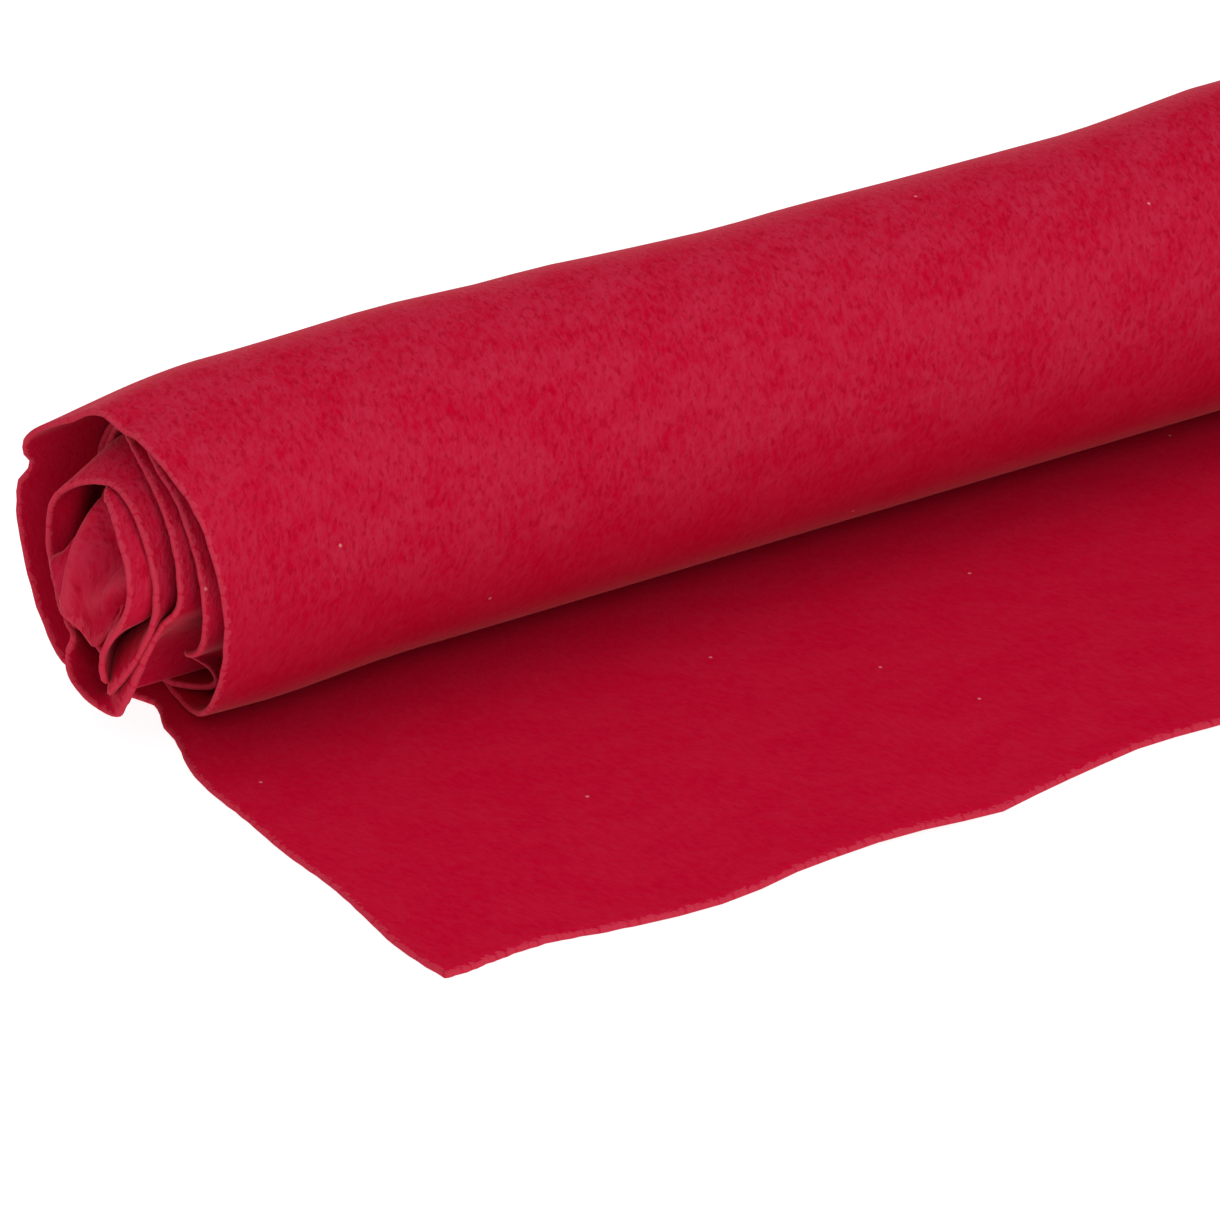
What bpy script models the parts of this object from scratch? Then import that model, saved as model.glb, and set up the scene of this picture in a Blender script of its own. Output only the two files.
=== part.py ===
"""A roll of craft felt: one sheet, wound up from its inner end, whose last stretch lies flat in front of the roll.

The roll lies along X with its crumpled end at -X, its loose end toward -Y, and rests on z = 0.
Places on the sheet are given as (depth, turn). Depth is the distance in from the cut edge at the
crumpled end. Turn counts once round the roll from where the sheet leaves the surface beneath the axis:
it is negative on the loose end and grows up the back, over the top and down the front, toward the core.
"""
import math

import bmesh
import bpy

MM = 0.001

FELT_WIDTH = 450 * MM
FELT_THICKNESS = 1.2 * MM
ROLL_RADIUS = 35.9 * MM
TURNS = 6.0
TIGHT_PITCH = 1.6 * MM       # by which a turn is smaller than the one around it
PITCH_GROWTH = 0.55 * MM     # and by how much more so toward the core, for each turn squared
LOOSE_END = 128 * MM

WIDER = 1.03                 # the roll settles a little wide and low under its own weight
LOWER = 0.97
LAYER_GAP = 0.45 * MM        # between the lowest layers, which carry the weight
GAP_GROWTH = 0.28 * MM       # by which the layers beneath the core spread, for each turn squared
FLAT_SPOT = 0.3 * MM         # how far the roll is pressed flat beneath
FLAT_SPOT_TURN = 0.02        # where its flat spot ends, behind the axis

RIM_DEPTH = 14 * MM          # how far in the cut edge's own shape reaches
THROAT_DEPTHS = (8 * MM, 80 * MM)      # between these the crumpled winding becomes the even one
FAR_WANDER = 0.25            # share of the cut edge's wander that is left at the far end
FLAT_UNTIL = 36 * MM         # the loose end stays flat this far in front of the axis

SEGMENTS_PER_TURN = 16
LOOSE_SEGMENTS = 8
END_STATIONS = (0, 3, 7, 12, 20, 32, 50)     # mm in from the crumpled end
STATION_PITCH = 40                           # mm, further in

# Shape of the winding at the crumpled cut edge, in mm.
#   turn, middle to the back, middle height, half width, half height
RIM = (
    (0, 0.0, 34.2, 36.4, 33.6),
    (1, -1.0, 34.2, 35.2, 31.9),
    (2, -1.0, 33.4, 30.6, 29.2),
    (3, -5.0, 33.0, 23.0, 24.4),
    (4, -5.5, 33.5, 18.4, 18.8),
    (5, -3.6, 33.0, 11.6, 11.4),
    (6, -1.5, 27.5, 4.6, 4.0),
)

# The same a little way in, where the winding is fuller.
THROAT = (
    (0, 0.0, 35.9, 36.6, 35.3),
    (1, 0.0, 34.6, 34.4, 32.3),
    (2, -1.0, 34.0, 31.2, 29.6),
    (3, -3.0, 34.0, 27.4, 27.2),
    (4, -4.5, 34.5, 22.6, 23.2),
    (5, -4.8, 36.5, 15.4, 15.4),
    (6, -5.0, 37.0, 9.0, 9.0),
)

# How far the cut edge stands out of the crumpled end, in mm.
#   turn, stands out
EDGE_WANDER = (
    (-0.60, -0.8), (-0.50, 0.6), (-0.37, -0.7), (-0.17, -0.2), (-0.12, -2.0), (-0.07, -4.8),
    (0.00, -8.0), (0.08, 2.2), (0.13, 3.1), (0.25, 2.7), (0.285, -0.2), (0.32, 2.0),
    (0.50, -0.6), (0.61, -1.5), (0.74, -4.2), (0.88, -7.5), (1.00, -12.0), (1.25, -8.2),
    (1.42, -10.0), (1.53, -5.0), (1.71, -2.0), (1.81, -3.5), (1.91, -6.5), (2.00, -6.0),
    (2.25, -12.0), (2.38, -11.0), (2.50, -4.5), (2.74, 1.2), (2.81, 6.6), (2.91, 8.9),
    (3.05, 9.2), (3.26, 6.6), (3.50, 3.0), (3.64, 4.0), (3.75, 6.0), (3.89, 9.4),
    (4.00, 7.0), (4.15, 5.4), (4.31, 3.0), (4.46, 2.6), (4.56, 5.6), (4.68, 9.2),
    (4.83, 11.2), (4.94, 6.4), (5.05, 9.8), (5.26, 9.6), (5.41, 11.2), (5.58, 7.0),
    (5.73, 3.6), (6.00, 2.2),
)

# Folds pressed into the inner turns at the crumpled end, across every turn that they meet.
#   bearing in degrees, spread in degrees, pressed in as a share of the turn, first turn
PRESSED_FOLDS = (
    (330, 20, 0.22, 3.4),
    (40, 20, 0.20, 2.8),
    (118, 24, 0.10, 3.4),
)

# Dents and swellings along the roll, in mm.
#   place, spread, rise
SWELLINGS = (
    (-150, 34, 0.9),
    (-72, 22, -0.3),
    (74, 26, 1.6),
    (150, 24, -0.4),
)

# Where the front cut edge wanders from straight, in mm.
#   place, spread, reach to the front
FRONT_EDGE_WAVES = (
    (-210, 20, -2.8),
    (-168, 14, 1.6),
    (-105, 12, 2.6),
    (-60, 16, -2.8),
    (20, 24, 2.0),
    (92, 20, -1.8),
    (165, 24, 2.6),
)

# Soft ripples of the loose end, in mm.
#   place, in front of the axis, spread along, spread across, rise
RIPPLES = (
    (-112, 112, 20, 30, 2.0),
    (-15, 96, 26, 24, 1.4),
    (90, 118, 30, 26, 1.8),
    (176, 92, 22, 24, 1.2),
)


def bell(distance, spread):
    """A smooth bump: 1 at no distance, falling away over the spread."""
    return math.exp(-(distance / spread) ** 2)


def smooth_step(amount):
    """Rises smoothly from 0 to 1 as the amount does."""
    amount = min(max(amount, 0.0), 1.0)
    return amount * amount * (3 - 2 * amount)


def between_rows(table, turn, ease=lambda share: share):
    """The values of a table's rows at a turn, passing from each row to the next at the given ease."""
    if turn <= table[0][0]:
        return table[0][1:]
    for low, high in zip(table, table[1:]):
        if turn <= high[0]:
            share = ease((turn - low[0]) / (high[0] - low[0]))
            return tuple(a + (b - a) * share for a, b in zip(low[1:], high[1:]))
    return table[-1][1:]


def even_winding(depth, turn):
    """Middle and half sizes of the winding inside the roll: a spiral whose turns lie close beneath."""
    radius = ROLL_RADIUS - FELT_THICKNESS / 2 - TIGHT_PITCH * turn - PITCH_GROWTH * turn ** 2
    place = (depth - FELT_WIDTH / 2) / MM
    swelling = sum(rise * bell(place - at, spread) for at, spread, rise in SWELLINGS)
    radius *= 1 + swelling * MM / ROLL_RADIUS
    lowest = FELT_THICKNESS / 2 + (FELT_THICKNESS + LAYER_GAP) * turn + GAP_GROWTH * turn ** 2
    return 0.0, lowest + radius * LOWER, radius * WIDER, radius * LOWER


def pressed_in(turn):
    """Share by which the crumpled end's folds press the winding in at a turn."""
    bearing = turn % 1 * 360
    pressed = 0.0
    for at, spread, push, first in PRESSED_FOLDS:
        away = (bearing - at + 180) % 360 - 180
        pressed += push * bell(away, spread) * smooth_step((turn - first) / 0.4)
    return pressed


def blend(first, second, share):
    """The values of two rows, the second by its share."""
    return [a + (b - a) * share for a, b in zip(first, second)]


def wound(depth, turn):
    """A point of the roll, crumpled at its -X end and evenly wound further in."""
    start, stop = THROAT_DEPTHS
    throat = [value * MM for value in between_rows(THROAT, turn)]
    rim = [value * MM for value in between_rows(RIM, turn)]
    near_rim = max(1 - depth / RIM_DEPTH, 0.0) ** 1.7
    crumpled = 1 - smooth_step((depth - start) / (stop - start))
    sizes = blend(even_winding(depth, turn), throat, crumpled)
    middle_y, middle_z, wide, high = blend(sizes, rim, near_rim)
    squeezed = 1 - pressed_in(turn) * near_rim
    angle = turn * math.tau
    height = middle_z - high * squeezed * math.cos(angle) - FLAT_SPOT
    return middle_y + wide * squeezed * math.sin(angle), max(height, middle_z - high)


def loose(depth, turn):
    """A point of the loose end, which lies on the surface with soft ripples near its front edge."""
    place = (depth - FELT_WIDTH / 2) / MM
    front = -turn * LOOSE_END / LOOSE_TURN
    rippled = smooth_step((front - FLAT_UNTIL) / (LOOSE_END - FLAT_UNTIL))
    front += rippled * sum(reach * MM * bell(place - at, spread) for at, spread, reach in FRONT_EDGE_WAVES)
    rise = 0.0
    for at, ahead, along, across, height in RIPPLES:
        rise += height * MM * bell(place - at, along) * bell(front / MM - ahead, across)
    return -front, FELT_THICKNESS / 2 + rise * smooth_step(rippled * 3)


LOOSE_TURN = LOOSE_END / (math.tau * ROLL_RADIUS)      # the loose end, as a share of a turn


def felt_point(depth, turn):
    """The point of the sheet's middle surface at a depth in from the crumpled edge and a turn."""
    y, z = loose(depth, turn) if turn <= 0 else wound(depth, turn)
    stands_out = between_rows(EDGE_WANDER, turn, smooth_step)[0] * MM
    stands_out *= 1 - (1 - FAR_WANDER) * depth / FELT_WIDTH
    return depth - FELT_WIDTH / 2 - stands_out, y, z


def stations():
    """Depths where the sheet is measured off, closest together at the crumpled end."""
    depths = [depth * MM for depth in END_STATIONS]
    steps = math.ceil((FELT_WIDTH - depths[-1]) / (STATION_PITCH * MM))
    pitch = (FELT_WIDTH - depths[-1]) / steps
    return depths + [depths[-1] + pitch * (step + 1) for step in range(steps)]


def turns():
    """Turns where the sheet is measured off, from the front cut edge to the inner end."""
    flat_pitch = (LOOSE_TURN + FLAT_SPOT_TURN) / LOOSE_SEGMENTS
    flat = [-LOOSE_TURN + flat_pitch * step for step in range(LOOSE_SEGMENTS)]
    count = round(TURNS * SEGMENTS_PER_TURN)
    pitch = (TURNS - FLAT_SPOT_TURN) / count
    return flat + [FLAT_SPOT_TURN + pitch * step for step in range(count + 1)]


def felt_material():
    """Matte red felt."""
    material = bpy.data.materials.new("red_felt")
    material.use_nodes = True
    shader = material.node_tree.nodes["Principled BSDF"]
    shader.inputs["Base Color"].default_value = (0.47, 0.008, 0.032, 1)
    shader.inputs["Roughness"].default_value = 0.92
    shader.inputs["Metallic"].default_value = 0.0
    return material


def felt_roll(collection):
    """The whole sheet: a grid laid onto the wound surface, then given its thickness."""
    depths, rounds = stations(), turns()
    columns, rows = len(depths) - 1, len(rounds) - 1
    sheet = bmesh.new()
    bmesh.ops.create_grid(sheet, x_segments=columns, y_segments=rows, size=0.5)
    for vert in sheet.verts:
        column = round((vert.co.x + 0.5) * columns)
        row = round((vert.co.y + 0.5) * rows)
        vert.co = felt_point(depths[column], rounds[row])
    mesh = bpy.data.meshes.new("felt_roll")
    sheet.to_mesh(mesh)
    sheet.free()
    mesh.shade_smooth()
    mesh.set_sharp_from_angle(angle=math.radians(60))
    roll = bpy.data.objects.new("felt_roll", mesh)
    roll.data.materials.append(felt_material())
    collection.objects.link(roll)
    thickness = roll.modifiers.new("thickness", "SOLIDIFY")
    thickness.thickness = FELT_THICKNESS
    thickness.offset = 0.0
    thickness.use_even_offset = True
    return roll


for leftover in list(bpy.data.objects):
    bpy.data.objects.remove(leftover, do_unlink=True)
roll_collection = bpy.data.collections.new("roll_of_felt")
bpy.context.scene.collection.children.link(roll_collection)
felt_roll(roll_collection)
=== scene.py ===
import math

import bpy
import numpy as np
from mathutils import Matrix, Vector


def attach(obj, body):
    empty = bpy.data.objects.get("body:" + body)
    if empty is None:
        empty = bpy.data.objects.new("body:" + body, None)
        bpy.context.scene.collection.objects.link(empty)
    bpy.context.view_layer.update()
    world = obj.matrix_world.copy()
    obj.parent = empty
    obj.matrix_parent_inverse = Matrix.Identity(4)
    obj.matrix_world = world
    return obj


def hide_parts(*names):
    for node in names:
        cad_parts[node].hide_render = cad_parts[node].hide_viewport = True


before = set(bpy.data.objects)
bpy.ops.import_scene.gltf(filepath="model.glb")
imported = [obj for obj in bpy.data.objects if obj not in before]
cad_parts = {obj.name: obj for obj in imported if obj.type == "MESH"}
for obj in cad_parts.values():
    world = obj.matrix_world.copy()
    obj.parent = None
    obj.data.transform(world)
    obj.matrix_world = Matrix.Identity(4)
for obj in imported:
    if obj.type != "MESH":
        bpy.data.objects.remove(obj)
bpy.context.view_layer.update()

# The camera. A long lens, held above the front left of the roll and looking down its length,
# close enough that the far end of the roll runs out of the picture.
AIM = Vector((-0.1534, -0.0724, 0.035))
CAMERA_DISTANCE = 1.1375
CAMERA_BEARING = math.radians(56.78)     # of the line of sight, from +X toward +Y
CAMERA_TILT = math.radians(27.03)        # below level
LENS_MM = 170.3

sight = Vector((
    math.cos(CAMERA_BEARING) * math.cos(CAMERA_TILT),
    math.sin(CAMERA_BEARING) * math.cos(CAMERA_TILT),
    -math.sin(CAMERA_TILT),
))
camera_data = bpy.data.cameras.new("camera")
camera_data.lens = LENS_MM
camera_data.sensor_width = 36
camera = bpy.data.objects.new("camera", camera_data)
camera.location = AIM - sight * CAMERA_DISTANCE
camera.rotation_euler = sight.to_track_quat("-Z", "Y").to_euler()
bpy.context.collection.objects.link(camera)
bpy.context.scene.camera = camera


# The felt sheet. One length of red craft felt, 450 mm wide and about 1 m long, 1.25 mm thick, its edges
# cut with a blade. It is wound up from its inner end and rests on its own loose end. Its left end is
# crumpled: the inner turns have slipped out a little, and the core is squashed and folded.
# Places on it are a depth in from the crumpled edge and a turn: 0 where the sheet leaves the surface
# beneath the axis, growing up the back and over the top toward the core, below 0 on the loose end.
MM = 0.001
WIDTH = 450.0                # mm, like every size of the felt below
THICKNESS = 1.25
TURNS = 6.0
LOOSE_END = 128.0
FELT_LENGTH = 1.02           # m
OUTER_RADIUS = 35.4
TIGHT_PITCH = 1.6            # by which a turn is smaller than the one around it
PITCH_GROWTH = 0.55          # and by how much more so toward the core, for each turn squared
WIDER = 1.03                 # the roll settles a little wide and low under its own weight
LOWER = 0.97
LAYER_GAP = 0.45             # between the lowest layers, which carry the weight
GAP_GROWTH = 0.28
FAR_WANDER = 0.25            # share of the cut edge's wander that is left at the far end
EDGE_EASE = 1.7              # how sharply the winding bends away to the cut edge's own shape
LOOSE_TURN = LOOSE_END / (math.tau * OUTER_RADIUS)
FLAT_SIZE = (WIDTH * MM, FELT_LENGTH)    # of the sheet laid flat, in m
RIM_BULGE = 0.35             # share of the thickness by which the middle of a cut edge stands out
CORE_ROUND = 60.0            # about how far it is round a turn at the core
RAGGED_ROUND = 215.0         # and round an outer turn, for the fine wander of the cut edge

# The cut edge at the crumpled end.
#   turn, back of the axis, height, stands out
CUT_EDGE = (
    # the outer turn, with a notch at the back and a dip at the top
    (0.00, 0.0, 0.65, -8.0), (0.05, 10.5, 1.9, -2.0), (0.085, 17.4, 4.7, 2.4), (0.13, 25.0, 10.7, 3.1),
    (0.17, 30.3, 17.6, 3.0), (0.21, 34.4, 27.0, 2.8), (0.25, 35.4, 35.0, 2.7), (0.272, 34.7, 40.0, 2.1),
    (0.285, 34.2, 42.8, -0.4), (0.297, 33.8, 45.2, 1.0), (0.315, 32.8, 48.6, 2.0),
    (0.335, 30.6, 51.2, 1.8), (0.36, 26.6, 54.2, 1.5), (0.385, 22.6, 56.6, 1.2), (0.41, 18.4, 58.9, 0.9),
    (0.43, 14.2, 61.0, 0.6), (0.455, 8.8, 64.4, 0.0), (0.485, 3.0, 66.4, -0.4), (0.505, 0.2, 66.3, -0.6),
    (0.52, -3.0, 65.6, -0.8), (0.545, -8.6, 66.2, -0.9), (0.57, -14.0, 65.6, -1.1),
    (0.61, -24.0, 62.4, -1.5), (0.66, -32.6, 56.4, -2.4), (0.70, -37.4, 47.6, -3.0),
    (0.74, -38.0, 37.6, -4.2), (0.78, -35.6, 27.5, -5.0), (0.83, -30.4, 17.5, -6.0),
    (0.88, -22.8, 9.0, -7.5), (0.92, -15.2, 4.6, -9.5), (0.96, -8.0, 2.5, -11.0),
    (1.00, -1.0, 2.3, -12.0),
    # the second turn, drawn back at the top and folded in at the lower front
    (1.05, 10.0, 4.0, -13.0), (1.12, 22.0, 9.5, -13.0), (1.18, 30.0, 19.5, -14.0),
    (1.25, 33.6, 34.5, -15.0), (1.28, 32.8, 41.4, -15.0), (1.32, 29.6, 47.6, -15.0),
    (1.36, 24.6, 52.8, -15.0), (1.42, 15.0, 59.2, -14.0), (1.48, 4.0, 62.6, -10.0),
    (1.53, -5.4, 62.6, -5.6), (1.57, -13.0, 61.2, -3.2), (1.62, -22.0, 56.6, -3.0),
    (1.67, -28.8, 49.6, -2.5), (1.71, -32.8, 43.2, -2.0), (1.74, -33.4, 37.4, -2.0),
    (1.765, -32.2, 32.4, -2.5), (1.79, -30.0, 28.0, -3.0), (1.81, -27.4, 25.2, -3.2),
    (1.83, -24.0, 23.4, -3.6), (1.85, -20.6, 22.0, -4.4), (1.865, -18.8, 19.4, -7.0),
    (1.88, -17.0, 15.8, -11.0), (1.91, -13.4, 10.0, -15.0), (1.96, -7.6, 5.4, -15.5),
    # the third turn, drawn well back at the top, folded in beside the core at the front
    (2.00, -1.0, 4.4, -12.0), (2.10, 12.6, 8.8, -12.0), (2.20, 23.6, 22.0, -12.0), (2.25, 25.6, 32.0, -12.0),
    (2.30, 25.4, 42.0, -12.0), (2.38, 18.6, 53.4, -11.0), (2.45, 8.6, 59.4, -8.0), (2.50, -0.6, 60.8, -4.5),
    (2.56, -10.2, 59.4, -2.2), (2.62, -18.8, 55.4, -1.0), (2.66, -24.7, 51.1, 0.0), (2.69, -27.6, 45.9, 0.5),
    (2.715, -29.0, 41.8, 1.0), (2.735, -29.2, 37.9, 1.2), (2.75, -28.4, 35.4, 2.4), (2.765, -27.0, 33.6, 3.8),
    (2.785, -26.3, 30.7, 5.2), (2.81, -25.0, 26.6, 6.6), (2.85, -22.6, 20.4, 7.8), (2.88, -20.4, 15.6, 8.6),
    (2.91, -18.4, 12.6, 8.9), (2.935, -16.3, 9.9, 8.9), (2.955, -12.9, 8.7, 9.0), (2.98, -6.4, 8.3, 9.2),
    (3.01, -0.7, 8.7, 9.2),
    # the fourth turn, standing out round the core, dented at the lower left
    (3.035, 3.0, 10.0, 9.2), (3.06, 4.9, 13.0, 9.0), (3.085, 3.4, 16.4, 9.2), (3.11, 0.6, 20.4, 9.4),
    (3.14, 3.6, 22.4, 9.0), (3.17, 6.7, 24.4, 8.4), (3.20, 8.8, 27.0, 8.0), (3.23, 13.0, 29.6, 7.2),
    (3.26, 15.7, 33.6, 6.6), (3.30, 15.8, 41.2, 6.0), (3.34, 13.8, 45.4, 5.4), (3.38, 11.0, 47.9, 4.8),
    (3.42, 7.4, 50.2, 4.0), (3.50, -1.0, 53.8, 3.0), (3.55, -6.8, 55.4, 3.0), (3.59, -12.6, 55.2, 3.5),
    (3.635, -18.8, 52.2, 4.0), (3.672, -23.4, 47.6, 4.5), (3.711, -26.6, 41.8, 5.0), (3.75, -27.4, 35.2, 6.0),
    (3.775, -25.4, 30.6, 6.4), (3.81, -22.9, 25.0, 7.6), (3.85, -19.4, 19.8, 8.7), (3.885, -16.0, 15.8, 9.4),
    (3.905, -13.4, 13.6, 9.0), (3.93, -10.6, 12.4, 7.0), (3.96, -7.6, 12.4, 5.4),
    # the fifth turn, drawn back at the back and top, standing out in a long lip at the front
    (4.00, -4.0, 13.2, 4.0), (4.05, 0.0, 15.0, 2.0), (4.10, 4.0, 18.0, 0.0), (4.15, 7.6, 22.4, -2.0),
    (4.20, 10.2, 28.0, -3.0), (4.25, 11.8, 34.0, -4.0), (4.31, 11.2, 41.6, -4.0), (4.40, 6.4, 48.8, -3.5),
    (4.46, 0.6, 52.0, -1.0), (4.50, -3.6, 53.2, 2.4), (4.53, -6.6, 53.2, 4.6), (4.56, -9.6, 53.3, 5.6),
    (4.585, -12.8, 52.7, 6.6), (4.615, -16.0, 51.0, 7.6), (4.65, -20.0, 48.0, 8.6),
    (4.68, -22.8, 44.8, 9.2), (4.71, -24.0, 40.6, 9.8), (4.74, -23.4, 36.6, 10.2),
    (4.765, -21.4, 32.8, 10.6), (4.80, -18.0, 28.2, 11.0), (4.83, -15.7, 24.8, 11.2),
    (4.86, -14.1, 21.2, 11.0), (4.88, -13.9, 18.8, 10.8), (4.90, -13.6, 16.9, 10.2),
    (4.92, -10.8, 15.0, 8.2), (4.95, -6.6, 15.2, 5.6), (4.98, -2.8, 17.2, 5.0), (5.01, 0.6, 20.4, 6.4),
    # the innermost turn: pinched into a small loop, its top fallen forward over the core like a tongue
    (5.04, 1.4, 22.6, 8.6), (5.07, 1.4, 24.6, 10.2), (5.10, 2.2, 26.2, 10.8), (5.14, 3.2, 27.4, 10.8),
    (5.17, 4.4, 28.4, 10.4), (5.21, 6.6, 30.0, 9.6), (5.26, 10.4, 31.8, 8.2), (5.28, 10.6, 33.4, 8.4),
    (5.30, 8.4, 32.6, 9.6), (5.35, 4.6, 30.4, 10.9), (5.41, 0.4, 28.4, 11.5), (5.46, -2.8, 27.0, 11.2),
    (5.50, -4.6, 24.4, 10.0), (5.54, -4.9, 20.8, 8.0), (5.58, -6.2, 21.2, 7.0), (5.62, -8.0, 24.2, 6.0),
    (5.66, -10.5, 28.2, 5.0), (5.69, -11.4, 31.9, 4.2), (5.73, -10.8, 35.0, 3.6), (5.78, -9.6, 35.6, 3.0),
    (5.85, -8.2, 33.0, 2.6), (5.92, -6.2, 30.2, 2.4), (6.00, -4.0, 28.6, 2.2),
)
# The winding just inside the crumpled end, loose and folded in at the lower front.
#   turn, back of the axis, height
THROAT = (
    (0.00, 0.0, 0.65), (0.06, 13.0, 2.8), (0.125, 25.3, 10.5), (0.19, 33.3, 22.0), (0.25, 35.8, 34.6),
    (0.31, 33.2, 46.8), (0.375, 25.6, 58.4), (0.44, 13.6, 66.2), (0.50, -0.5, 69.0), (0.56, -14.0, 67.3),
    (0.625, -26.4, 60.2), (0.69, -34.2, 48.2), (0.75, -37.0, 35.5), (0.81, -34.2, 22.6), (0.875, -26.2, 10.8),
    (0.94, -13.5, 3.6),
    (1.00, -0.5, 2.4), (1.06, 12.0, 4.6), (1.125, 23.4, 11.8), (1.19, 31.4, 22.4), (1.25, 33.8, 34.5),
    (1.31, 30.8, 45.2), (1.375, 23.2, 55.0), (1.44, 12.0, 62.0), (1.50, -1.0, 65.0), (1.56, -13.2, 63.2),
    (1.625, -24.2, 56.6), (1.69, -31.6, 46.0), (1.75, -33.0, 34.8), (1.79, -25.4, 25.8), (1.83, -18.0, 20.2),
    (1.875, -12.4, 13.0), (1.94, -7.8, 6.2),
    (2.00, -1.0, 4.6), (2.06, 10.0, 6.6), (2.125, 19.4, 13.2), (2.19, 26.8, 23.0), (2.25, 29.4, 34.5),
    (2.31, 27.0, 44.6), (2.375, 20.4, 53.8), (2.44, 10.4, 60.0), (2.50, -1.5, 62.4), (2.56, -12.0, 60.2),
    (2.625, -21.8, 53.8), (2.69, -26.6, 44.4), (2.74, -26.4, 36.2), (2.79, -20.2, 29.2), (2.83, -14.2, 24.0),
    (2.875, -9.2, 18.0), (2.94, -5.2, 11.2),
    (3.00, -2.6, 7.6), (3.06, 4.6, 9.8), (3.125, 12.5, 15.5), (3.19, 18.6, 24.0), (3.25, 21.2, 34.5),
    (3.31, 20.2, 44.0), (3.375, 15.6, 52.4), (3.44, 7.2, 58.0), (3.50, -2.4, 59.6), (3.56, -11.2, 56.6),
    (3.625, -19.6, 50.6), (3.69, -23.2, 42.2), (3.74, -23.0, 35.8), (3.81, -15.8, 29.2), (3.875, -8.8, 22.6),
    (3.94, -4.8, 16.4),
    (4.00, -3.2, 12.4), (4.06, 2.2, 14.0), (4.125, 7.6, 18.4), (4.19, 12.6, 26.0), (4.25, 14.6, 35.0),
    (4.31, 13.8, 43.0), (4.375, 10.0, 49.6), (4.44, 3.8, 53.6), (4.50, -3.2, 56.0), (4.56, -10.4, 53.6),
    (4.625, -16.8, 48.0), (4.69, -20.6, 41.0), (4.75, -20.0, 34.8), (4.81, -13.2, 31.2), (4.875, -7.0, 26.4),
    (4.94, -4.0, 21.4),
    (5.00, -2.8, 18.8), (5.125, 4.8, 22.2), (5.25, 10.0, 32.0), (5.375, 8.6, 43.0), (5.50, -2.0, 50.8),
    (5.56, -8.6, 49.2), (5.625, -14.2, 45.6), (5.69, -17.4, 40.0), (5.75, -16.4, 34.2), (5.81, -12.2, 33.2),
    (5.875, -7.4, 31.2), (6.00, -2.8, 30.2),
)
THROAT_REACH = (16.0, 60.0)  # the throat passes into the even winding between these depths

# How deep the cut edge's own shape reaches.
#   turn, depth
EDGE_REACH = (
    (0.0, 36.0), (1.0, 26.0), (2.0, 17.0), (2.74, 14.0), (2.82, 8.0), (2.96, 7.5), (3.04, 11.0), (3.74, 10.5),
    (3.84, 8.5), (3.96, 8.0), (4.04, 10.0), (5.0, 9.0), (5.24, 9.0), (5.32, 12.0), (5.70, 12.0), (5.80, 9.0),
    (6.0, 8.0),
)

# Small folds near the crumpled end, pushed out of or into the winding.
#   turn, depth, spread round, spread in depth, pushed out, pushed forward
FOLDS = (
    (0.555, 22.0, 0.05, 16.0, -0.5, 0.0),
    (0.64, 30.0, 0.05, 26.0, 0.5, 0.0),
    (0.70, 52.0, 0.05, 22.0, -0.5, 0.0),
    (3.29, 7.0, 0.09, 5.0, -3.5, 0.0),
    (4.71, 5.0, 0.11, 3.6, 3.0, 0.0),
    (5.45, 4.5, 0.028, 6.0, 0.3, 2.6),
    (5.37, 7.0, 0.035, 4.0, 0.0, -1.6),
    (5.53, 8.6, 0.045, 4.0, -0.5, -3.0),
    (5.53, 3.0, 0.040, 1.9, 0.3, 2.6),
    (5.60, 4.2, 0.040, 2.0, 0.5, 3.8),
    (5.66, 5.2, 0.040, 2.2, 0.7, 4.2),
)

# Crests of folds at the core, painted paler as a painted highlight along each crest.
#   turn, depth, turn, depth: from one place to another
HIGHLIT_FOLD_CRESTS = (
    (5.52, 2.6, 5.575, 3.9),
    (5.575, 3.9, 5.64, 5.6),
    (5.455, 0.2, 5.44, 8.6),
)
CREST_HIGHLIGHT_SPREAD = 0.8            # how far the painted highlight reaches beside a fold crest

# How the roll swells and shrinks along its length.
#   place, how much larger its radius
GIRTH = (
    (-230, 0.7), (-205, 0.8), (-185, 0.9), (-165, 1.2), (-151, 1.45), (-139, 1.3), (-127, 1.1), (-112, 1.15),
    (-97, 0.8), (-82, 0.5), (-67, 0.3), (-51, 0.5), (-20, 0.5), (13, 0.6), (29, 0.7), (47, 1.4), (64, 2.2),
    (86, 2.0), (112, 0.9), (150, 0.3), (190, 0.8), (230, 0.6),
)

# The side edge of the loose end.
#   in front of the axis, stands out
SIDE_EDGE = (
    (0, -8.0), (5, -7.0), (9.4, -5.0), (16, -4.0), (21.6, -2.5), (26, -1.1), (32, 0.2), (37, 0.7),
    (52, 0.5), (67, 0.9), (83, 0.1), (92, 0.2), (103, 0.8), (111, 1.4), (120, 0.8), (128, -0.3),
)

# Where the front cut edge lies.
#   place along the roll, in front of the axis
FRONT_EDGE = (
    (-228, 124.0), (-224.0, 125.2), (-219, 125.2), (-212, 124.6), (-201, 124.8), (-189, 127.6), (-178, 129.6),
    (-168, 130.8), (-158, 130.2), (-150, 128.6), (-134, 127.9), (-125, 128.7), (-117, 130.4), (-108, 130.8),
    (-105, 131.6), (-100, 130.8), (-93, 129.4), (-78, 127.0), (-62, 124.8), (-42, 125.7), (-12, 128.0),
    (20, 130.0), (56, 128.0), (92, 126.2), (130, 128.6), (165, 130.6), (200, 128.2), (226, 127.6),
)
FLAT_UNTIL = 36.0            # the loose end stays flat this far in front of the axis
RIPPLED_FROM = 66.0          # and its ripples are full from here

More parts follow.
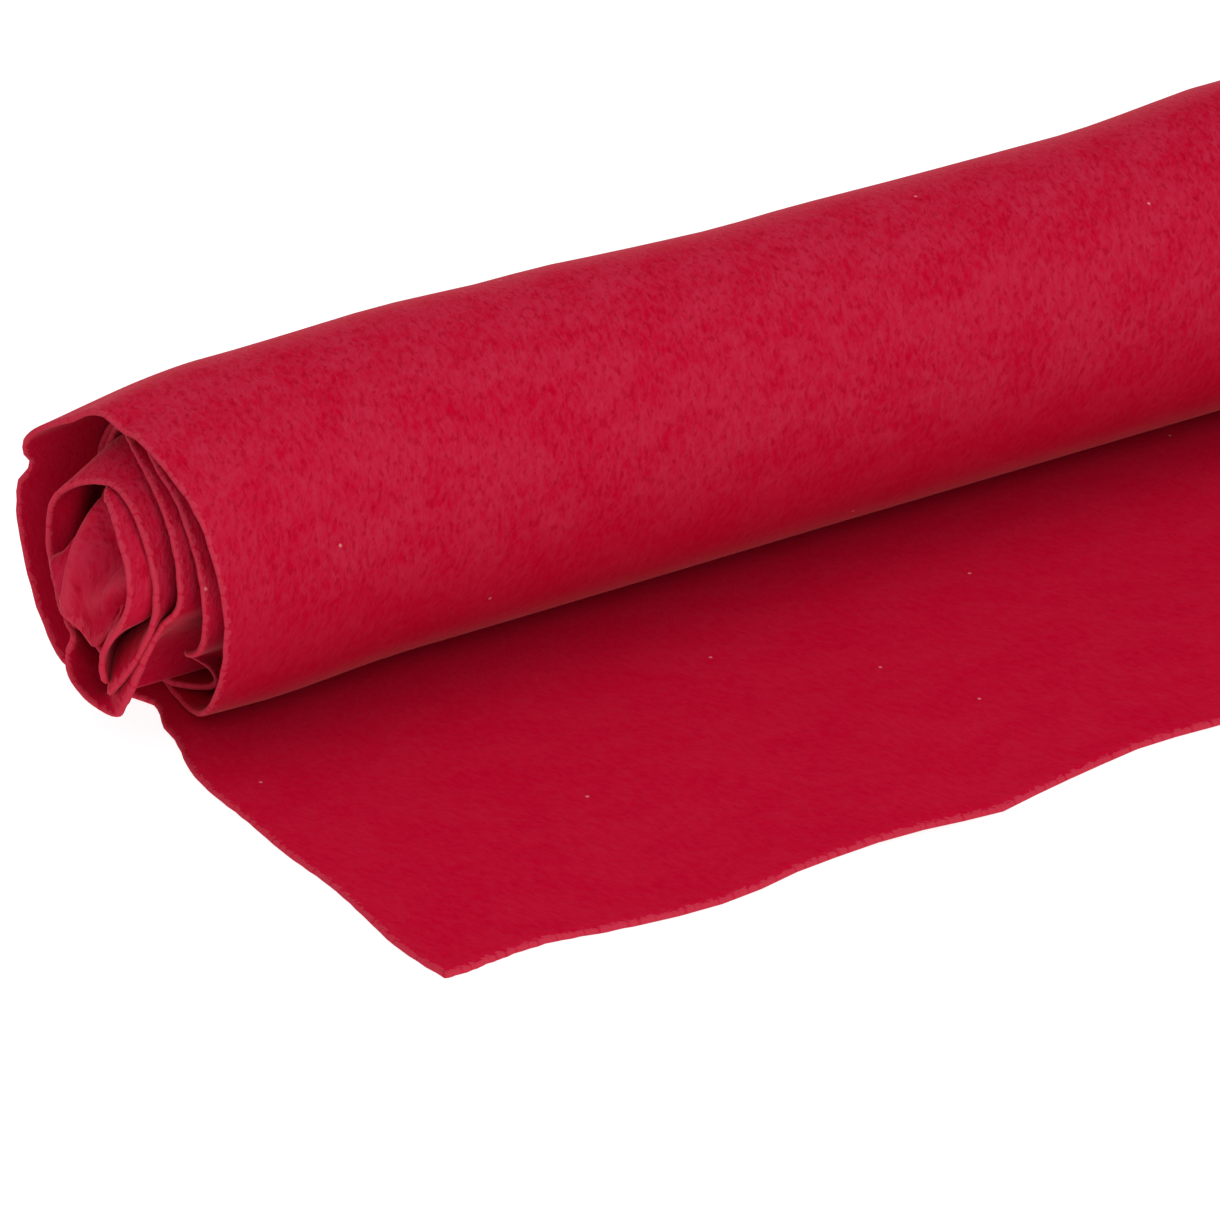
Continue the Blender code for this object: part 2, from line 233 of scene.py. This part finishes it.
# Soft ripples of the loose end, each running a little aslant.
#   place, in front of the axis, spread along, spread across, slant, rise
RIPPLES = (
    (-112, 112, 12, 30, -0.35, 2.2),
    (-140, 78, 16, 26, 0.5, 0.7),
    (-182, 96, 18, 26, 0.3, 0.8),
    (-15, 96, 26, 24, -0.3, 1.4),
    (90, 118, 30, 26, 0.2, 1.8),
    (176, 92, 22, 24, 0.0, 1.2),
)


def between_rows(table, at):
    """Columns of a table at any value of its first column, on smooth curves through its rows:
    Hermite cubics whose slope at a row is that of the line between the rows beside it."""
    rows = np.array(table, dtype=float)
    first, values = rows[:, 0], rows[:, 1:]
    slopes = np.gradient(values, first, axis=0)
    at = np.clip(at, first[0], first[-1])
    low = np.clip(np.searchsorted(first, at, side="right") - 1, 0, len(first) - 2)
    step = (first[low + 1] - first[low])[..., None]
    share = (at - first[low])[..., None] / step
    return (
        values[low] * (1 + 2 * share) * (1 - share) ** 2 + values[low + 1] * share**2 * (3 - 2 * share)
        + step * (slopes[low] * share * (1 - share) ** 2 - slopes[low + 1] * share**2 * (1 - share))
    )


def smooth_step(low, high, amount):
    """0 below low, 1 above high, and smoothly between them."""
    share = np.clip((amount - low) / (high - low), 0, 1)
    return share * share * (3 - 2 * share)


def bell(away, spread):
    """1 at no distance, falling smoothly away over the spread."""
    return np.exp(-(away / spread) ** 2)


def ragged(at, *waves):
    """A fine wander along an edge: sines whose pitches share no common length, each a (pitch, height)."""
    return sum(height * np.sin(at / pitch * math.tau + 9 * height) for pitch, height in waves)


def even_winding(depth, turn):
    """The winding inside the roll: an oval spiral on which each turn is smaller than the last by a little
    more, with its lowest points close together because the layers rest on each other, and its size
    swelling and shrinking along the roll."""
    place = depth - WIDTH / 2
    radius = OUTER_RADIUS - TIGHT_PITCH * turn - PITCH_GROWTH * turn**2 - THICKNESS / 2
    radius = radius * (1 + between_rows(GIRTH, place)[..., 0] / OUTER_RADIUS)
    lowest = THICKNESS / 2 + (THICKNESS + LAYER_GAP) * turn + GAP_GROWTH * turn**2
    angle = turn * math.tau
    return radius * WIDER * np.sin(angle), lowest + radius * LOWER * (1 - np.cos(angle))


def wound(depth, turn):
    """The wound part at (depth, turn): the even winding, which passes into the throat's shape near the
    crumpled end and is drawn to the cut edge's own shape at the end itself, plus the small folds."""
    y, z = even_winding(depth, turn)
    throat = between_rows(THROAT, turn)
    edge = between_rows(CUT_EDGE, turn)
    near = 1 - smooth_step(*THROAT_REACH, depth - edge[..., 2])
    y += (throat[..., 0] - y) * near
    z += (throat[..., 1] - z) * near
    drawn = np.clip(1 - depth / between_rows(EDGE_REACH, turn)[..., 0], 0, 1) ** EDGE_EASE
    y += (edge[..., 0] - y) * drawn
    z += (edge[..., 1] - z) * drawn
    angle = turn * math.tau
    forward = 0
    for at, deep, spread, spread_in, out, ahead in FOLDS:
        share = bell(turn - at, spread) * bell(depth - deep, spread_in)
        y += out * share * np.sin(angle)
        z -= out * share * np.cos(angle)
        forward = forward + ahead * share
    return y, z, forward


def loose(depth, turn):
    """The loose end at (depth, turn): flat on the surface, its front edge wandering, with soft ripples
    that rise toward the front."""
    place = depth - WIDTH / 2
    front = -turn / LOOSE_TURN
    reach = between_rows(FRONT_EDGE, place)[..., 0] + ragged(place, (7.1, 0.10), (3.3, 0.08), (1.9, 0.06))
    ahead = front * LOOSE_END + (reach - LOOSE_END) * smooth_step(FLAT_UNTIL, LOOSE_END, front * LOOSE_END)
    rise = 0 * ahead
    for at, out, along, across, slant, height in RIPPLES:
        rise += height * bell(place - at - slant * (ahead - out), along) * bell(ahead - out, across)
    return -ahead, THICKNESS / 2 + rise * smooth_step(FLAT_UNTIL, RIPPLED_FROM, ahead)


def middle_surface(depth, turn):
    """Points midway through the felt's thickness, in mm, on a grid of depths and turns."""
    depth, turn = np.meshgrid(depth, turn)
    y, z, forward = wound(depth, np.maximum(turn, 0))
    flat_y, flat_z = loose(depth, np.minimum(turn, 0))
    y, z = np.where(turn > 0, y, flat_y), np.where(turn > 0, z, flat_z)
    wound_out = between_rows(CUT_EDGE, turn)[..., 2]
    loose_out = between_rows(SIDE_EDGE, -turn / LOOSE_TURN * LOOSE_END)[..., 0]
    fray = ragged(turn * RAGGED_ROUND, (6.3, 0.06), (2.9, 0.05), (1.7, 0.03))
    out = np.where(turn > 0, wound_out, loose_out) + fray
    x = depth - WIDTH / 2 - out * (1 - (1 - FAR_WANDER) * depth / WIDTH) - forward
    return np.stack((x, y, z), axis=-1)


def stations(*spans):
    """Stations from span to span, each span a (start, end, pitch)."""
    runs = [np.linspace(a, b, max(1, round((b - a) / pitch)), endpoint=False) for a, b, pitch in spans]
    return np.append(np.concatenate(runs), spans[-1][1])


def rubbed(depth, turn):
    """How strong the painted highlight is along the fold crests, on a grid of depths and turns: 1 on their
    lines, falling away within a millimetre or two."""
    depth, turn = np.meshgrid(depth, turn)
    crest_light = 0 * depth
    for start_turn, start, end_turn, end in HIGHLIT_FOLD_CRESTS:
        round_by, in_by = (end_turn - start_turn) * CORE_ROUND, end - start
        away_round, away_in = (turn - start_turn) * CORE_ROUND, depth - start
        along = np.clip((away_round * round_by + away_in * in_by) / (round_by**2 + in_by**2), 0, 1)
        away = np.hypot(away_round - along * round_by, away_in - along * in_by)
        crest_light = np.maximum(crest_light, bell(away, CREST_HIGHLIGHT_SPREAD))
    return crest_light


def thick_sheet(middle, crest_light):
    """A closed sheet round a grid of middle points: both faces lie half the thickness away along the
    normals, which are the cross product of the grid's two directions, and a rounded rim joins them.
    Each point's place on the flat sheet, in metres, comes with it for the finish, and marks for the
    face that is outward on the roll and for the painted highlight along the fold crests."""
    along = np.gradient(middle, axis=1)
    across = np.gradient(middle, axis=0)
    normal = np.cross(along, across)
    normal /= np.linalg.norm(normal, axis=-1, keepdims=True)
    faces = [middle + normal * side * THICKNESS / 2 for side in (-1, 1)]
    rows, columns = middle.shape[:2]
    index = np.arange(rows * columns).reshape(rows, columns)
    corners = (index[:-1, :-1], index[:-1, 1:], index[1:, 1:], index[1:, :-1])
    quads = np.stack(corners, axis=-1).reshape(-1, 4)
    # the rim: one line of points standing out of the cut edge, midway between the two faces
    ring = np.concatenate((index[0, :-1], index[:-1, -1], index[-1, :0:-1], index[:0:-1, 0]))
    middles = middle.reshape(-1, 3)
    inward = np.concatenate((middle[1, :-1], middle[:-1, -2], middle[-2, :0:-1], middle[:0:-1, 1]))
    outward = middles[ring] - inward
    outward /= np.linalg.norm(outward, axis=-1, keepdims=True)
    rim = middles[ring] + outward * THICKNESS * RIM_BULGE
    points = np.concatenate([face.reshape(-1, 3) for face in faces] + [rim])
    line = np.arange(len(ring)) + 2 * rows * columns
    upper_ring = ring + rows * columns
    after = np.roll(np.arange(len(ring)), -1)
    lower_rim = np.stack((ring[after], line[after], line, ring), axis=-1)
    upper_rim = np.stack((line[after], upper_ring[after], upper_ring, line), axis=-1)
    quads = np.concatenate((quads[:, ::-1], quads + rows * columns, lower_rim, upper_rim))
    # lengths along the sheet's two directions, averaged over it and scaled to its flat size
    widthwise = np.append(0, np.linalg.norm(np.diff(middle, axis=1), axis=-1).mean(axis=0).cumsum())
    lengthwise = np.append(0, np.linalg.norm(np.diff(middle, axis=0), axis=-1).mean(axis=1).cumsum())
    u, v = np.meshgrid(widthwise / widthwise[-1] * FLAT_SIZE[0], lengthwise / lengthwise[-1] * FLAT_SIZE[1])
    flat = np.stack((u, v), axis=-1).reshape(-1, 2)
    crest_light = crest_light.ravel()
    marks = {
        "outer_face": np.repeat((1.0, 0.0, 0.5), (rows * columns, rows * columns, len(ring))),
        "rubbed": np.concatenate((crest_light, crest_light * 0, crest_light[ring] * 0)),
    }
    return points * MM, quads, np.concatenate((flat, flat, flat[ring])), marks


def as_object(name, points, faces, flat, marks, material):
    """A smooth-shaded object from points and faces, with its places on the flat sheet as its UV map and
    its marks as attributes."""
    mesh = bpy.data.meshes.new(name)
    mesh.from_pydata(points, [], faces.tolist())
    corner_points = np.empty(len(mesh.loops), dtype=np.int32)
    mesh.loops.foreach_get("vertex_index", corner_points)
    mesh.uv_layers.new(name="flat_sheet").data.foreach_set("uv", flat[corner_points].ravel())
    for mark, amounts in marks.items():
        mesh.attributes.new(mark, "FLOAT", "POINT").data.foreach_set("value", amounts)
    mesh.shade_smooth()
    mesh.materials.append(material)
    thing = bpy.data.objects.new(name, mesh)
    bpy.context.collection.objects.link(thing)
    return thing


# The felt's finish. Its colours run from the pits between the fibres to single lit fibres.
DEEP_RED = (0.36, 0.0006, 0.014)
FELT_RED = (0.446, 0.0008, 0.021)
LIT_RED = (0.462, 0.0165, 0.047)
# pinkish fluff of the cut edges, also used as a painted highlight along the fold crests
FLUFF_AND_HIGHLIGHT_PINK = (0.54, 0.045, 0.078)
# pink of a painted sheen, for surfaces seen edge on
PAINTED_SHEEN_PINK = (0.58, 0.070, 0.095)
LINT = (0.85, 0.42, 0.40)


def wire(tree, source, sink):
    """Joins an output to an input."""
    tree.links.new(source, sink)


def reckoned(tree, operation, first, second, clamp=False):
    """A Math node's output for two values, each an output or a number."""
    node = tree.nodes.new("ShaderNodeMath")
    node.operation = operation
    node.use_clamp = clamp
    for socket, value in zip(node.inputs, (first, second)):
        if isinstance(value, float):
            socket.default_value = value
        else:
            wire(tree, value, socket)
    return node.outputs[0]


def blend(tree, *parts):
    """The sum of outputs, each given as an (output, weight)."""
    weighed = [reckoned(tree, "MULTIPLY", output, weight) for output, weight in parts]
    total = weighed[0]
    for part in weighed[1:]:
        total = reckoned(tree, "ADD", total, part)
    return total


def turned(tree, place, angle, size):
    """A place on the flat sheet turned by an angle and measured in cells of a size, in metres."""
    node = tree.nodes.new("ShaderNodeMapping")
    node.vector_type = "TEXTURE"
    node.inputs["Rotation"].default_value = (0, 0, math.radians(angle))
    node.inputs["Scale"].default_value = (*size, 1)
    wire(tree, place, node.inputs["Vector"])
    return node.outputs[0]


def cloud(tree, place, angle, size, detail=2.0, roughness=0.55):
    """Soft random values, 0 to 1, in cells of a size turned by an angle."""
    node = tree.nodes.new("ShaderNodeTexNoise")
    node.noise_dimensions = "2D"
    node.inputs["Scale"].default_value = 1.0
    node.inputs["Detail"].default_value = detail
    node.inputs["Roughness"].default_value = roughness
    wire(tree, turned(tree, place, angle, size), node.inputs["Vector"])
    return node.outputs[0]


def ramp(tree, value, low, high, low_out=0.0, high_out=1.0):
    """A value passed smoothly from one range to another."""
    node = tree.nodes.new("ShaderNodeMapRange")
    node.interpolation_type = "SMOOTHSTEP"
    for name, amount in (("From Min", low), ("From Max", high), ("To Min", low_out), ("To Max", high_out)):
        node.inputs[name].default_value = amount
    wire(tree, value, node.inputs["Value"])
    return node.outputs[0]


def mixed(tree, share, first, second):
    """One colour passing into another by a share; each is an output or a colour."""
    node = tree.nodes.new("ShaderNodeMix")
    node.data_type = "RGBA"
    wire(tree, share, node.inputs[0])
    for socket, colour in ((node.inputs[6], first), (node.inputs[7], second)):
        if isinstance(colour, tuple):
            socket.default_value = (*colour, 1)
        else:
            wire(tree, colour, socket)
    return node.outputs[2]


def from_outline(tree, place):
    """How near a place is to the flat sheet's outline, in metres."""
    parts = tree.nodes.new("ShaderNodeSeparateXYZ")
    wire(tree, place, parts.inputs[0])
    nearest = None
    for output, size in zip(parts.outputs, FLAT_SIZE):
        near = reckoned(tree, "MINIMUM", output, reckoned(tree, "SUBTRACT", size, output))
        nearest = near if nearest is None else reckoned(tree, "MINIMUM", nearest, near)
    return nearest


def matted_wool():
    """A group that gives the felt's colour and its height from a place on the flat sheet: soft streaks
    and specks of lit wool over a deeper red, small pits, patches where the wool stands up, the paler
    fluff of the cut edges, and a painted highlight along the fold crests. The face turned out on the
    roll has its wool raised, the other is pressed flat; on the raised face the streaks and pits are
    also painted stronger where it faces up, as painted light from above."""
    tree = bpy.data.node_groups.new("matted wool", "ShaderNodeTree")
    tree.interface.new_socket("Place", in_out="INPUT", socket_type="NodeSocketVector")
    tree.interface.new_socket("Brushed and top lit", in_out="INPUT", socket_type="NodeSocketFloat")
    tree.interface.new_socket("Painted crest highlight", in_out="INPUT", socket_type="NodeSocketFloat")
    tree.interface.new_socket("Colour", in_out="OUTPUT", socket_type="NodeSocketColor")
    tree.interface.new_socket("Height", in_out="OUTPUT", socket_type="NodeSocketFloat")
    source = tree.nodes.new("NodeGroupInput")
    result = tree.nodes.new("NodeGroupOutput")
    place = source.outputs["Place"]
    # the raised wool of the outward face, together with painted light from above: lit streaks and pits are
    # painted stronger on faces turned up
    brushed_and_top_lit = ramp(tree, source.outputs["Brushed and top lit"], 0.0, 1.0, 0.34, 1.0)
    # lit wool and the pits between it
    streaks = None
    for angle, size in ((112, (0.0046, 0.0011)), (88, (0.0036, 0.0011)), (138, (0.0032, 0.0010))):
        strands = ramp(tree, cloud(tree, place, angle, size, detail=1.5), 0.45, 0.72)
        streaks = strands if streaks is None else reckoned(tree, "MAXIMUM", streaks, strands)
    speckle = ramp(tree, cloud(tree, place, 108, (0.0030, 0.0018), detail=4.0, roughness=0.7), 0.36, 0.64)
    patches = ramp(tree, cloud(tree, place, -20, (0.017, 0.011), detail=3.0, roughness=0.6), 0.34, 0.64)
    pits = ramp(tree, cloud(tree, place, 115, (0.0024, 0.0013), detail=3.0), 0.30, 0.46, 1.0, 0.0)
    lit = blend(tree, (patches, 0.38), (streaks, 0.40), (speckle, 0.34))
    colour = mixed(tree, reckoned(tree, "MULTIPLY", lit, brushed_and_top_lit, clamp=True), FELT_RED, LIT_RED)
    dark = reckoned(tree, "MULTIPLY", pits, reckoned(tree, "MULTIPLY", brushed_and_top_lit, 0.60))
    colour = mixed(tree, dark, colour, DEEP_RED)
    # fluff on the cut edges, and a painted highlight along the fold crests
    fray = ramp(tree, cloud(tree, place, 0, (0.0012, 0.0012)), 0.3, 0.7, -0.0006, 0.0006)
    frayed = reckoned(tree, "ADD", from_outline(tree, place), fray)
    colour = mixed(tree, ramp(tree, frayed, 0.0001, 0.0009, 0.55, 0.0), colour, FLUFF_AND_HIGHLIGHT_PINK)
    # painted highlight along the fold crests, mixed into the colour
    crest_highlight_share = reckoned(tree, "MULTIPLY", source.outputs["Painted crest highlight"], 0.5)
    colour = mixed(tree, crest_highlight_share, colour, FLUFF_AND_HIGHLIGHT_PINK)
    # specks of lint
    specks = tree.nodes.new("ShaderNodeTexVoronoi")
    specks.voronoi_dimensions = "2D"
    specks.inputs["Scale"].default_value = 1.0
    wire(tree, turned(tree, place, 0, (0.071, 0.071)), specks.inputs["Vector"])
    colour = mixed(tree, ramp(tree, specks.outputs["Distance"], 0.0025, 0.0070, 0.40, 0.0), colour, LINT)
    height = blend(tree, (streaks, 1.0), (pits, -0.8), (speckle, 0.8), (patches, 1.0))
    wire(tree, colour, result.inputs["Colour"])
    wire(tree, reckoned(tree, "MULTIPLY", height, brushed_and_top_lit), result.inputs["Height"])
    return tree


def felt_finish():
    """Dull red wool felt: the matted wool's colour and height, no gloss, and a faint pink painted sheen
    mixed into the colour where the surface is seen edge on."""
    finish = bpy.data.materials.new("red felt")
    finish.use_nodes = True
    tree = finish.node_tree
    shader = tree.nodes["Principled BSDF"]
    shader.inputs["Roughness"].default_value = 0.95
    shader.inputs["Specular IOR Level"].default_value = 0.01
    shader.inputs["Sheen Weight"].default_value = 0.08
    shader.inputs["Sheen Roughness"].default_value = 0.22
    shader.inputs["Sheen Tint"].default_value = (1.0, 0.50, 0.52, 1)
    laid = tree.nodes.new("ShaderNodeUVMap")
    laid.uv_map = "flat_sheet"
    wool = tree.nodes.new("ShaderNodeGroup")
    wool.node_tree = matted_wool()
    raised = tree.nodes.new("ShaderNodeBump")
    raised.inputs["Strength"].default_value = 0.45
    raised.inputs["Distance"].default_value = 0.00022
    wire(tree, laid.outputs[0], wool.inputs["Place"])
    marks = {}
    for mark in ("outer_face", "rubbed"):
        marks[mark] = tree.nodes.new("ShaderNodeAttribute")
        marks[mark].attribute_name = mark
    wire(tree, marks["rubbed"].outputs["Fac"], wool.inputs["Painted crest highlight"])
    # painted light from above: on the outward face the lit streaks and the pits are painted stronger the more
    # the surface faces up
    turned_to = tree.nodes.new("ShaderNodeTexCoord")
    upward = tree.nodes.new("ShaderNodeSeparateXYZ")
    wire(tree, turned_to.outputs["Normal"], upward.inputs[0])
    painted_top_light = ramp(tree, upward.outputs[2], -0.40, 0.40, 0.30, 1.0)
    brushed_and_top_lit = reckoned(tree, "MULTIPLY", marks["outer_face"].outputs["Fac"], painted_top_light)
    wire(tree, brushed_and_top_lit, wool.inputs["Brushed and top lit"])
    edge_on = tree.nodes.new("ShaderNodeLayerWeight")
    # painted sheen: light pink mixed into the colour where the surface is seen edge on
    painted_sheen = ramp(tree, edge_on.outputs["Facing"], 0.62, 1.0, 0.0, 0.50)
    wire(tree, mixed(tree, painted_sheen, wool.outputs["Colour"], PAINTED_SHEEN_PINK), shader.inputs["Base Color"])
    wire(tree, wool.outputs["Height"], raised.inputs["Height"])
    wire(tree, raised.outputs["Normal"], shader.inputs["Normal"])
    return finish


# the sheet's grid, closest at the crumpled end and at the core
depths = stations((0, 14, 0.8), (14, 40, 1.7), (40, WIDTH, 9.5))
turns = stations(
    (-LOOSE_TURN, 0, 0.012), (0, 1, 0.0100), (1, 2, 0.0110), (2, 3, 0.0090), (3, 4, 0.0095),
    (4, 5, 0.0105), (5, TURNS, 0.0150),
)
middle = middle_surface(depths, turns)
felt = as_object("felt", *thick_sheet(middle, rubbed(depths, turns)), felt_finish())
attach(felt, "root")
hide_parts("felt_roll")

# The floor, a plain white sweep, and the studio light: a bright tent all round, dimmer toward the
# crumpled end, a weak soft box overhead and a stronger one in front.
floor_mesh = bpy.data.meshes.new("floor")
floor_mesh.from_pydata([(-4, -4, 0), (4, -4, 0), (4, 4, 0), (-4, 4, 0)], [], [(0, 1, 2, 3)])
floor = bpy.data.objects.new("floor", floor_mesh)
bpy.context.collection.objects.link(floor)
white = bpy.data.materials.new("white paper")
white.use_nodes = True
paper = white.node_tree.nodes["Principled BSDF"]
paper.inputs["Base Color"].default_value = (0.3, 0.3, 0.3, 1)
paper.inputs["Roughness"].default_value = 0.9
paper.inputs["Specular IOR Level"].default_value = 0.1
paper.inputs["Emission Color"].default_value = (1, 1, 1, 1)
paper.inputs["Emission Strength"].default_value = 0.88
floor.data.materials.append(white)

bpy.context.scene.view_settings.view_transform = "Standard"
world = bpy.data.worlds.new("studio")
bpy.context.scene.world = world
world.use_nodes = True
sky = world.node_tree
toward = sky.nodes.new("ShaderNodeTexCoord")
bearing = sky.nodes.new("ShaderNodeSeparateXYZ")
wire(sky, toward.outputs["Generated"], bearing.inputs[0])
wire(sky, ramp(sky, bearing.outputs[0], -0.9, 0.3, 0.55, 0.90), sky.nodes["Background"].inputs["Strength"])
sky.nodes["Background"].inputs["Color"].default_value = (1, 1, 1, 1)


def soft_box(name, place, size, power):
    """A square lamp at a place, turned toward the roll."""
    data = bpy.data.lights.new(name, "AREA")
    data.size = size
    data.energy = power
    lamp = bpy.data.objects.new(name, data)
    lamp.location = place
    lamp.rotation_euler = (AIM - Vector(place)).to_track_quat("-Z", "Y").to_euler()
    bpy.context.collection.objects.link(lamp)


soft_box("overhead", (-0.3, 0.1, 1.5), 1.0, 3)
soft_box("front", (-0.5, -1.4, 0.8), 1.2, 8)
